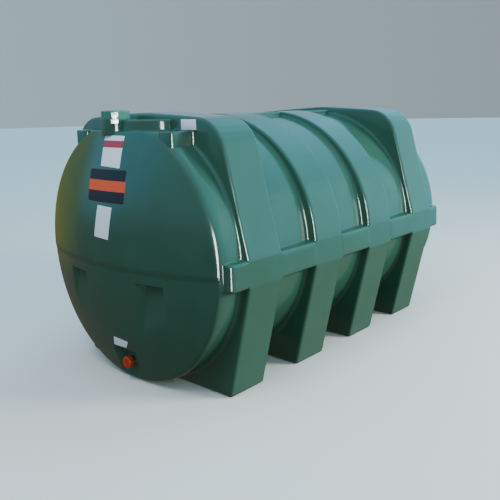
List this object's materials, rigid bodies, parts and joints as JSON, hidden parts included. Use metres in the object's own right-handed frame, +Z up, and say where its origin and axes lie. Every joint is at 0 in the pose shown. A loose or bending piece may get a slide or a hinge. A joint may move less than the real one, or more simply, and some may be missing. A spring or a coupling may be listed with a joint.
{
  "type": "horizontal heating oil tank",
  "caption": "Moulded green plastic oil tank: a lying cylinder with dished ends, ribs over its back, a square waist band and moulded feet.",
  "frame": {"origin": "middle of the footprint on the floor", "axes": "X along the tank from the outlet end at -X to the back end, Y across it with the pictured long side at -Y, Z up"},
  "size_m": [2.058, 1.278, 1.246],
  "materials": {
    "green_polyethylene": "glossy moulded polyethylene",
    "plated_steel": "satin plated",
    "outlet_cap": "glossy",
    "white_label": "satin printed film",
    "badge_plate": "satin printed film"
  },
  "bodies": {
    "root": {"barrel_upper": "green_polyethylene", "barrel_lower": "green_polyethylene", "front_dish_upper": "green_polyethylene", "front_dish_lower": "green_polyethylene", "rear_dish_upper": "green_polyethylene", "rear_dish_lower": "green_polyethylene", "band_near": "green_polyethylene", "band_far": "green_polyethylene", "rib_1": "green_polyethylene", "rib_2": "green_polyethylene", "rib_3": "green_polyethylene", "rib_4": "green_polyethylene", "crown_strip_1": "green_polyethylene", "crown_strip_2": "green_polyethylene", "crown_strip_3": "green_polyethylene", "leg_near_1": "green_polyethylene", "leg_near_2": "green_polyethylene", "leg_near_3": "green_polyethylene", "leg_near_4": "green_polyethylene", "leg_far_1": "green_polyethylene", "leg_far_2": "green_polyethylene", "leg_far_3": "green_polyethylene", "leg_far_4": "green_polyethylene", "lug_near": "green_polyethylene", "lug_far": "green_polyethylene", "filler_plinth": "green_polyethylene", "filler_neck": "green_polyethylene", "fill_cap": "green_polyethylene", "cap_hasp": "plated_steel", "padlock_shackle": "plated_steel", "padlock_body": "plated_steel", "outlet_boss": "green_polyethylene", "outlet_cap": "outlet_cap", "top_label": "white_label", "lower_label": "white_label", "outlet_label": "white_label", "rib_label": "white_label", "badge_plate": "badge_plate"}
  },
  "joints": []
}
